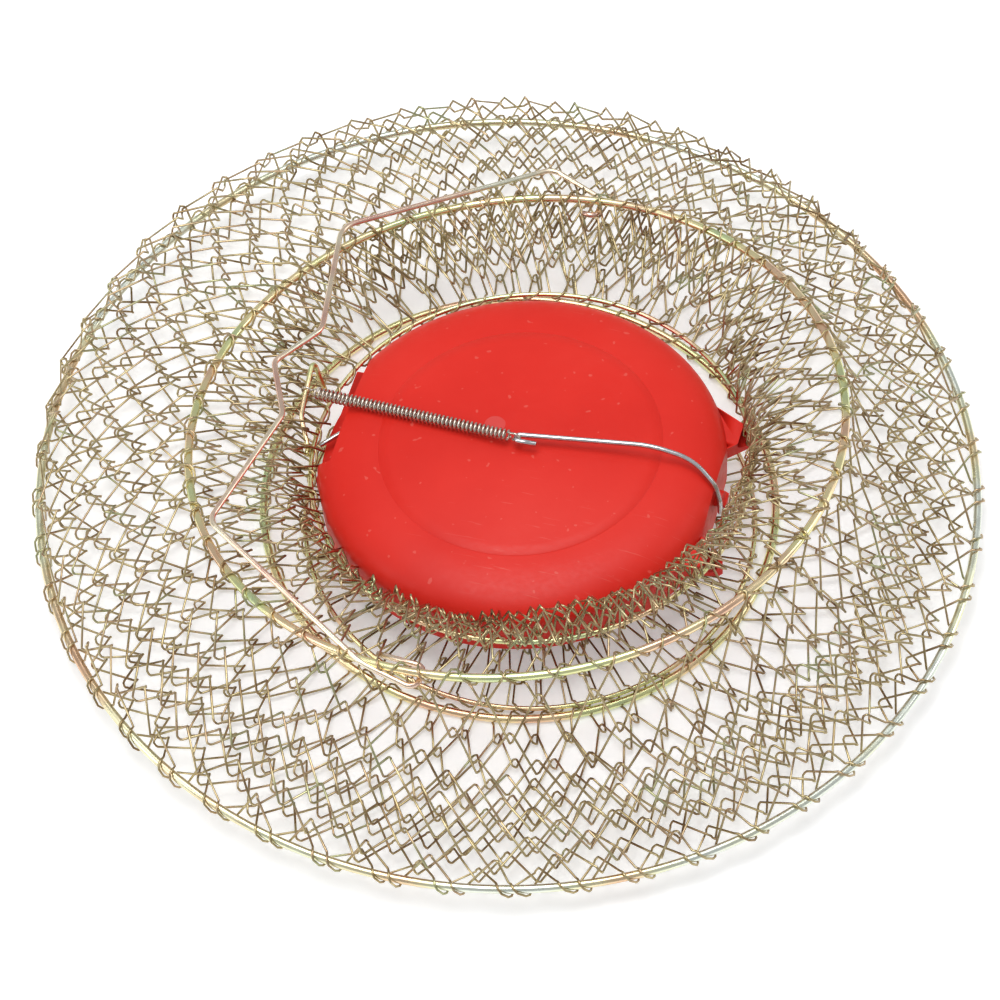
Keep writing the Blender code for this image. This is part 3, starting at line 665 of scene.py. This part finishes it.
def profile(inset):
    """Outline of the lid from the middle of its top to its foot, or of its hollow where inset."""
    points = []
    for k in range(TOP_STEPS + 1):
        share = k / TOP_STEPS
        drop = (CROWN - SHOULDER - CIRCLE_STEP) * share ** 2
        points.append((SHOULDER_RADIUS * share, CROWN - inset - drop))
    if not inset:
        points += [(SHOULDER_RADIUS + out, SHOULDER + up) for out, up in CIRCLE]
    across = SHOULDER_RADIUS + CIRCLE_WIDTH
    for k in range(1, SIDE_STEPS + 1):
        a = math.pi / 2 * k / SIDE_STEPS
        radius = across + (LID_RADIUS - inset - across) * math.sin(a)
        points.append((radius, (SHOULDER - inset) * math.cos(a)))
    foot = -LID_DEPTH - (RECESS if inset else 0)
    for out, up in HOLLOW_EDGE if inset else FOOT_EDGE:
        points.append((FOOT_RADIUS - inset + out, foot + up))
    points.append((0, foot))
    return points


def revolve(name, outline, steps):
    """Solid of revolution about Z, whose outline starts and ends on the axis."""
    verts, faces = [], []
    for r, z in outline[1:-1]:
        for k in range(steps):
            a = 2 * math.pi * k / steps
            verts.append((r * math.cos(a), r * math.sin(a), z))
    rings = len(outline) - 2
    top, bottom = len(verts), len(verts) + 1
    verts += [(0, 0, outline[0][1]), (0, 0, outline[-1][1])]
    for i in range(rings - 1):
        for k in range(steps):
            n = (k + 1) % steps
            faces.append((i * steps + k, (i + 1) * steps + k, (i + 1) * steps + n, i * steps + n))
    for k in range(steps):
        n = (k + 1) % steps
        faces.append((top, k, n))
        faces.append((bottom, (rings - 1) * steps + n, (rings - 1) * steps + k))
    mesh = bpy.data.meshes.new(name)
    mesh.from_pydata(verts, [], faces)
    return mesh


def cube(name, low, high):
    """Box between two corners."""
    bm = bmesh.new()
    bmesh.ops.create_cube(bm, size=1)
    low, high = Vector(low), Vector(high)
    for v in bm.verts:
        v.co = Vector((v.co[i] * (high - low)[i] + (low + high)[i] / 2 for i in range(3)))
    mesh = bpy.data.meshes.new(name)
    bm.to_mesh(mesh)
    bm.free()
    return mesh


def prism(name, outline, low, high):
    """Solid between two heights from a plan outline, counter-clockwise."""
    n = len(outline)
    verts = [(x, y, low) for x, y in outline] + [(x, y, high) for x, y in outline]
    faces = [tuple(range(n))[::-1], tuple(range(n, 2 * n))]
    faces += [(k, (k + 1) % n, n + (k + 1) % n, n + k) for k in range(n)]
    mesh = bpy.data.meshes.new(name)
    mesh.from_pydata(verts, [], faces)
    return mesh


def rod(name, start, end, radius, sides=32):
    """Solid cylinder between two points."""
    start, end = Vector(start), Vector(end)
    bm = bmesh.new()
    bmesh.ops.create_cone(bm, cap_ends=True, segments=sides, radius1=radius, radius2=radius,
                          depth=(end - start).length)
    turn = Vector((0, 0, 1)).rotation_difference(end - start).to_matrix().to_4x4()
    bm.transform(Matrix.Translation((start + end) / 2) @ turn)
    mesh = bpy.data.meshes.new(name)
    bm.to_mesh(mesh)
    bm.free()
    return mesh


def cut(item, mesh, operation):
    """Applies one exact boolean to a piece."""
    other = bpy.data.objects.new(mesh.name, mesh)
    bpy.context.scene.collection.objects.link(other)
    step = item.modifiers.new("cut", "BOOLEAN")
    step.operation = operation
    step.object = other
    step.solver = "EXACT"
    apply(item)
    bpy.data.objects.remove(other, do_unlink=True)


def apply(item):
    """Turns a piece's modifiers into its mesh."""
    bpy.context.view_layer.update()
    graph = bpy.context.evaluated_depsgraph_get()
    mesh = bpy.data.meshes.new_from_object(item.evaluated_get(graph))
    item.modifiers.clear()
    item.data = mesh


EDGE_ANGLE = math.radians(38)
SHARP_ANGLE = math.radians(42)


def finish_edges(item, width, segments=2):
    """Rounds a moulded piece's sharp edges and shades it smooth."""
    bevel = item.modifiers.new("edge", "BEVEL")
    bevel.width = width
    bevel.segments = segments
    bevel.limit_method = "ANGLE"
    bevel.angle_limit = EDGE_ANGLE
    apply(item)
    item.data.validate()
    item.data.shade_smooth()
    item.data.set_sharp_from_angle(angle=SHARP_ANGLE)


# Lugs: bearings of the root in the wall, and the tip's bearings and radii, in degrees and metres
LUG_ROOT = (15.5, 32)
LUG_STEPS = 8
LUG_TIP = ((24.2, 0.1056), (21.6, 0.1128), (20.6, 0.1135), (19.9, 0.1126), (18.2, 0.1056))
LUG_LOW = -0.0062
LUG_HIGH = 0.0012

# Stub that the lever turns round, and the trough in which the lugs take the lid ring, where the
# ring passes them at the clip's bearing
STUB_HEIGHT = -0.003
STUB_RADIUS = 0.004
STUB_REACH = 0.0056
CLIP_BEARING = math.radians(22.5)
HINGE_REACH = COLLAR.radius * math.cos(CLIP_BEARING) + LID_SETBACK
TROUGH_RADIUS = 0.0034
TROUGH_HALF = 0.1


def hinge_side(inset):
    """Box over what the lid's flat side at the hinge leaves off."""
    return cube("hinge_side", (HINGE_FLAT - inset, -FAR, -FAR), (FAR, FAR, FAR))


def latch_side(inset):
    """Box over what the notch at the latch leaves off, down to its ledge."""
    low = (-FAR, LATCH_END - inset, -LEDGE - inset)
    return cube("latch_side", low, (-LATCH_FLAT + inset, FAR, FAR))


def lug_outline(side):
    """Plan of the lug on one side, counter-clockwise."""
    plan = []
    for k in range(LUG_STEPS + 1):
        bearing = LUG_ROOT[0] + (LUG_ROOT[1] - LUG_ROOT[0]) * k / LUG_STEPS
        plan.append(polar(math.radians(bearing), LID_RADIUS - WALL / 2))
    plan += [polar(math.radians(bearing), radius) for bearing, radius in LUG_TIP]
    if side < 0:
        plan.reverse()
    return [(p.x, side * p.y) for p in plan]


def build_lid():
    lid = new_object("lid_moulding", revolve("lid_moulding", profile(0), LID_STEPS), RED)
    cut(lid, hinge_side(0), "DIFFERENCE")
    cut(lid, latch_side(0), "DIFFERENCE")
    hollow = new_object("hollow", revolve("hollow", profile(WALL), HOLLOW_STEPS), RED)
    cut(hollow, hinge_side(WALL), "DIFFERENCE")
    cut(hollow, latch_side(WALL), "DIFFERENCE")
    mesh = hollow.data
    bpy.data.objects.remove(hollow, do_unlink=True)
    cut(lid, mesh, "DIFFERENCE")
    sill = cube("sill", (-SILL_REACH, LATCH_END + WALL, -LID_DEPTH), (-LATCH_FLAT, SILL_END, -LEDGE))
    cut(lid, sill, "UNION")
    for side in (1, -1):
        cut(lid, prism("lug", lug_outline(side), LUG_LOW, LUG_HIGH), "UNION")
    root = (HINGE_FLAT - WALL / 2, 0, STUB_HEIGHT)
    tip = (HINGE_FLAT + STUB_REACH, 0, STUB_HEIGHT)
    cut(lid, rod("stub", root, tip, STUB_RADIUS), "UNION")
    ends = [(HINGE_REACH, y, 0) for y in (-TROUGH_HALF, TROUGH_HALF)]
    cut(lid, rod("trough", *ends, TROUGH_RADIUS, 40), "DIFFERENCE")
    finish_edges(lid, LID_EDGE)
    lid.matrix_world = LID_FRAME
    return lid


# Base plate inside the wall, and its two saddles that hold the lever from below
BASE_RADIUS = 0.0949
BASE_LOW = -0.003
BASE_HIGH = -0.001
BASE_INSET = 0.0021
SADDLES = (-0.045, 0.045)
SADDLE_HALF = 0.003
SADDLE_SIDES = (-0.004, 0.008)
SADDLE_FOOT = -0.0094
SADDLE_TOP = -0.002
BASE_EDGE = 0.0004


def build_base():
    plate = rod("lid_underside", (0, 0, BASE_LOW), (0, 0, BASE_HIGH), BASE_RADIUS, 128)
    base = new_object("lid_underside", plate, RED)
    cut(base, hinge_side(BASE_INSET), "DIFFERENCE")
    beyond = cube("beyond_latch", (-FAR, -FAR, -FAR), (-LATCH_FLAT + BASE_INSET, FAR, FAR))
    cut(base, beyond, "DIFFERENCE")
    for place in SADDLES:
        low = (place - SADDLE_HALF, SADDLE_SIDES[0], SADDLE_FOOT)
        high = (place + SADDLE_HALF, SADDLE_SIDES[1], SADDLE_TOP)
        cut(base, cube("saddle", low, high), "UNION")
    finish_edges(base, BASE_EDGE)
    base.matrix_world = LID_FRAME
    return base


def ride_lid(item, node=None):
    """Lets a piece ride on the lid, in place of a CAD node where it has one."""
    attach(item, "lid")
    if node:
        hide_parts(node)


ride_lid(build_lid(), "lid_shell")
ride_lid(build_base(), "lid_base")

# Round mark of the moulding's gate on the crown, placed in the lid ring's frame
GATE_PLACE = (-0.0158, 0.0088, 0.01752)
GATE_RADIUS = 0.0050
GATE_HEIGHT = 0.0004
GATE_EDGE = 0.00015
gate_disc = rod("gate_mark", (0, 0, 0), (0, 0, GATE_HEIGHT), GATE_RADIUS, 40)
gate = new_object("gate_mark", gate_disc, GATE)
finish_edges(gate, GATE_EDGE)
gate.matrix_world = COLLAR.frame @ Matrix.Translation(GATE_PLACE)
ride_lid(gate)


# Lever wire: how thick it shows, the height of its arm's end, the two sides of the loop there, how
# far its upright stands off the hinge's flat side, and the height of its latch tongue
LEVER_SHOWN = 0.00122
LEVER_TOP = 0.023
LEVER_LOOP = (-0.007, -0.0034)
LEVER_OUT = 0.0034
TONGUE_HEIGHT = -0.0042
LEVER_SEAT = Vector((0, sum(LEVER_LOOP) / 2, LEVER_TOP))
LEVER_BENDS = (0.0017, 0.0017, 0.060, 0.030, 0.012, 0.006, 0.003, 0.003, 0.005, 0.005)


def lever_path():
    """Loop for the spring, arm over the lid, turn round the stub, arm under the lid and tongue."""
    under = STUB_HEIGHT - STUB_RADIUS - GAP - LEVER_WIRE / 2
    beside = STUB_RADIUS + GAP + LEVER_WIRE / 2
    out = HINGE_FLAT + LEVER_OUT
    points = [
        (0.010, LEVER_LOOP[0], LEVER_TOP), (0, LEVER_LOOP[0], LEVER_TOP), (0, LEVER_LOOP[1], LEVER_TOP),
        (0.062, 0.0045, 0.022), (0.082, 0.0045, 0.017), (0.094, -0.002, 0.009),
        (out, -beside, 0.001), (out, -beside, under), (out, beside, under),
        (-0.080, 0.0012, under), (-0.089, 0.0012, TONGUE_HEIGHT), (-0.1035, -0.0165, TONGUE_HEIGHT),
    ]
    return rounded(points, LEVER_BENDS)


lever = sweep("lever_rod", placed(lever_path(), LID_FRAME), LEVER_SHOWN, 16, STEEL)
ride_lid(lever, "lever_wire")


# Spring anchor in the lid ring's frame: its feet and last end, and the seat that takes the spring
ANCHOR_FEET = (math.radians(155.5), math.radians(172.5))
ANCHOR_END = math.radians(175.0)
ANCHOR_BEARING = math.radians(160.6)
ANCHOR_HEIGHT = 0.0139
ANCHOR_SEAT = polar(ANCHOR_BEARING, 0.1125, ANCHOR_HEIGHT)
ANCHOR_BENDS = (0.0022, 0.003, 0.010, 0.010)


def anchor_path():
    """Foot beside the lid ring, peak, seat for the spring, and the other foot with its end."""
    beside = COLLAR.radius + THIN_WIRE + GAP
    feet = [polar(bearing, beside) for bearing in ANCHOR_FEET]
    points = [
        feet[0], polar(math.radians(152.2), 0.1165, 0.0165), ANCHOR_SEAT,
        polar(math.radians(166.0), 0.1123, 0.0070), feet[1], polar(ANCHOR_END, beside),
    ]
    return rounded(points, ANCHOR_BENDS)


anchor = sweep("anchor_rod", placed(anchor_path(), COLLAR.frame), THIN_WIRE / 2, 12, GOLD)
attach(anchor, "collar")
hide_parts("spring_anchor")


# Spring: its wire, its width, its coils and their points, and the room that each loop takes up.
# A loop starts and turns by shares of a half turn.
SPRING_WIRE = 0.0012
SPRING_WIDTH = 0.0063
SPRING_COILS = 48
COIL_STEPS = 20
ANCHOR_LOOP_ROOM = 0.0050
LEVER_LOOP_ROOM = 0.0032
ANCHOR_LOOP = (-0.35, 1.55, 16)
LEVER_END_LOOP = (-0.25, 1.75, 17)


def spring_path():
    """Anchor loop, close coils and lever loop, in the lid ring's frame."""
    radius = (SPRING_WIDTH - SPRING_WIRE) / 2
    lever_seat = LID_IN_COLLAR @ LEVER_SEAT
    way = (lever_seat - ANCHOR_SEAT).normalized()
    level = Vector((0, 0, 1)).cross(way).normalized()
    upright = way.cross(level)
    inner = radius - SPRING_WIRE / 2
    first = ANCHOR_SEAT + way * (inner - THIN_WIRE / 2 - GAP)
    last = lever_seat - way * (inner - LEVER_WIRE / 2 - GAP)
    start = first + way * ANCHOR_LOOP_ROOM
    stop = last - way * LEVER_LOOP_ROOM
    points = []
    begin, turn, steps = ANCHOR_LOOP
    for k in range(steps, -1, -1):
        a = math.pi * (begin + turn * k / steps)
        points.append(first - way * radius * math.sin(a) + upright * radius * math.cos(a))
    count = SPRING_COILS * COIL_STEPS
    for k in range(count + 1):
        a = 2 * math.pi * k / COIL_STEPS
        coil = (upright * math.cos(a) - level * math.sin(a)) * radius
        points.append(start.lerp(stop, k / count) + coil)
    begin, turn, steps = LEVER_END_LOOP
    for k in range(1, steps + 1):
        a = math.pi * (begin + turn * k / steps)
        points.append(last + way * radius * math.sin(a) + upright * radius * math.cos(a))
    return points


spring = sweep("coil_spring", placed(spring_path(), COLLAR.frame), SPRING_WIRE / 2, 10, SPRING)
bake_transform(spring)
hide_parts("lid_spring")


# Handle: the bearing of its pivots' axis in the mouth ring's frame, the bulge and the shoulder that
# lie on the ring, how thick it shows, and the sides of the CAD's mouth ring
HANDLE_TURN = math.radians(73.7)
HANDLE_BULGE = (0.0095, 0.025)
HANDLE_SHOULDER = (math.radians(49.2), 0.0096)
HANDLE_SHOWN = 0.00138
CAD_RING_STEPS = 48

# Its bends in its own plane, along the pivots' axis and out from it: hook, bulge, shoulder, dip,
# peak, and the other side back to its hook, with the bends' radii
HANDLE_OUTLINE = (
    (0.1465, 0.007), (0.1465, 0), (0.1590, 0), (0.1715, 0.029), (0.0985, 0.1165), (0.030, 0.1045),
    (0.003, 0.1195), (-0.027, 0.1050), (-0.0985, 0.1165), (-0.1535, 0.027), (-0.1600, 0),
    (-0.1465, 0), (-0.1465, 0.022),
)
HANDLE_BENDS = (0.0035, 0.0045, 0.008, 0.014, 0.012, 0.006, 0.010, 0.008, 0.030, 0.0045, 0.0035)


def handle_matrix():
    """Frame of the folded handle: it hangs under the mouth ring at its hooks and lies on it where
    its side crosses the ring."""
    sag = MOUTH.radius * (1 - math.cos(math.pi / CAD_RING_STEPS))
    contact = (RING_WIRE + HANDLE_WIRE) / 2 + GAP
    drop = contact + sag
    low = Vector((MOUTH.radius + HANDLE_BULGE[0], HANDLE_BULGE[1]))
    high = polar(HANDLE_SHOULDER[0], MOUTH.radius - HANDLE_SHOULDER[1]).to_2d()
    way = (high - low).normalized()
    along = -low.dot(way)
    foot = low + way * along
    half = math.sqrt(MOUTH.radius ** 2 - foot.length_squared)
    crossing = foot + way * half if 0 < along + half < (high - low).length else foot - way * half
    tilt = math.asin((drop + contact) / crossing.y)
    turned = MOUTH.frame @ Matrix.Rotation(HANDLE_TURN, 4, "Z") @ Matrix.Translation((0, 0, -drop))
    return turned @ Matrix.Rotation(tilt, 4, "X")


handle_path = rounded([(x, y, 0) for x, y in HANDLE_OUTLINE], HANDLE_BENDS)
handle = sweep("handle_rod", placed(handle_path, handle_matrix()), HANDLE_SHOWN, 14, ROSE)
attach(handle, "bail")
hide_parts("handle")


# Studio: the floor's glow to the camera, the world's strength, and their colours
FLOOR_GLOW = 0.27
WORLD_STRENGTH = 0.50
COOL_WHITE = (0.95, 0.97, 1.0)
PALE_GREY = (0.93, 0.93, 0.93)
FLOOR_SIZE = 12


def floor_material():
    """Matt pale floor, brighter to the camera and in reflections than as a source of light."""
    made, nodes, links, shader = shader_material("studio_floor")
    shader.inputs["Base Color"].default_value = (*PALE_GREY, 1)
    shader.inputs["Roughness"].default_value = 0.9
    shader.inputs["Specular IOR Level"].default_value = 0.0
    path = nodes.new("ShaderNodeLightPath")
    camera_ray, glossy_ray = path.outputs["Is Camera Ray"], path.outputs["Is Glossy Ray"]
    seen = math_node(nodes, links, "MAXIMUM", camera_ray, glossy_ray)
    glow = nodes.new("ShaderNodeEmission")
    links.new(math_node(nodes, links, "MULTIPLY", seen, FLOOR_GLOW), glow.inputs["Strength"])
    add = nodes.new("ShaderNodeAddShader")
    links.new(shader.outputs["BSDF"], add.inputs[0])
    links.new(glow.outputs["Emission"], add.inputs[1])
    links.new(add.outputs["Shader"], nodes["Material Output"].inputs["Surface"])
    return made


def world():
    """Soft light from all sides, and plain white to the camera."""
    made = bpy.data.worlds.new("studio")
    bpy.context.scene.world = made
    made.use_nodes = True
    nodes, links = made.node_tree.nodes, made.node_tree.links
    light = nodes["Background"]
    light.inputs["Color"].default_value = (*COOL_WHITE, 1)
    light.inputs["Strength"].default_value = WORLD_STRENGTH
    white = nodes.new("ShaderNodeBackground")
    white.inputs["Color"].default_value = (1, 1, 1, 1)
    path = nodes.new("ShaderNodeLightPath")
    mix = nodes.new("ShaderNodeMixShader")
    links.new(path.outputs["Is Camera Ray"], mix.inputs["Fac"])
    links.new(light.outputs["Background"], mix.inputs[1])
    links.new(white.outputs["Background"], mix.inputs[2])
    links.new(mix.outputs["Shader"], nodes["World Output"].inputs["Surface"])


def softbox(name, place, size, watts):
    """Rectangular lamp that faces the basket."""
    data = bpy.data.lights.new(name, "AREA")
    data.shape = "RECTANGLE"
    data.size, data.size_y = size
    data.energy = watts
    item = bpy.data.objects.new(name, data)
    item.location = place
    item.rotation_euler = (-Vector(place)).to_track_quat("-Z", "Y").to_euler()
    bpy.context.scene.collection.objects.link(item)


def studio():
    """Pale floor, world and three soft lamps."""
    bpy.ops.mesh.primitive_plane_add(size=FLOOR_SIZE)
    floor = bpy.context.object
    floor.name = "studio_floor"
    floor.data.materials.append(floor_material())
    world()
    softbox("top_box", (-0.2, 0.12, 1.9), (1.4, 1.1), 21)
    softbox("left_box", (-1.7, -0.5, 1.0), (0.5, 1.4), 6)
    softbox("right_box", (1.7, 0.3, 1.0), (0.4, 1.4), 5)
    bpy.context.scene.view_settings.view_transform = "Standard"


# Camera as fitted to the rings in the photograph: its place, its roll, its lens as a share of the
# sensor's width, and its shift
CAMERA_PLACE = Vector((0, -0.9207, 1.3086))
CAMERA_ROLL = -0.00775
SENSOR = 36
LENS_SHARE = 3.3018
CAMERA_SHIFT = (-0.00846, -0.00877)


def camera():
    forward = -CAMERA_PLACE.normalized()
    right = Vector((1, 0, 0))
    up = right.cross(forward)
    c, s = math.cos(CAMERA_ROLL), math.sin(CAMERA_ROLL)
    right, up = right * c + up * s, up * c - right * s
    data = bpy.data.cameras.new("camera")
    data.sensor_width = SENSOR
    data.lens = LENS_SHARE * SENSOR
    data.shift_x, data.shift_y = CAMERA_SHIFT
    item = bpy.data.objects.new("camera", data)
    turn = Matrix((right, up, -forward)).transposed().to_4x4()
    item.matrix_world = Matrix.Translation(CAMERA_PLACE) @ turn
    bpy.context.scene.collection.objects.link(item)
    bpy.context.scene.camera = item


studio()
camera()
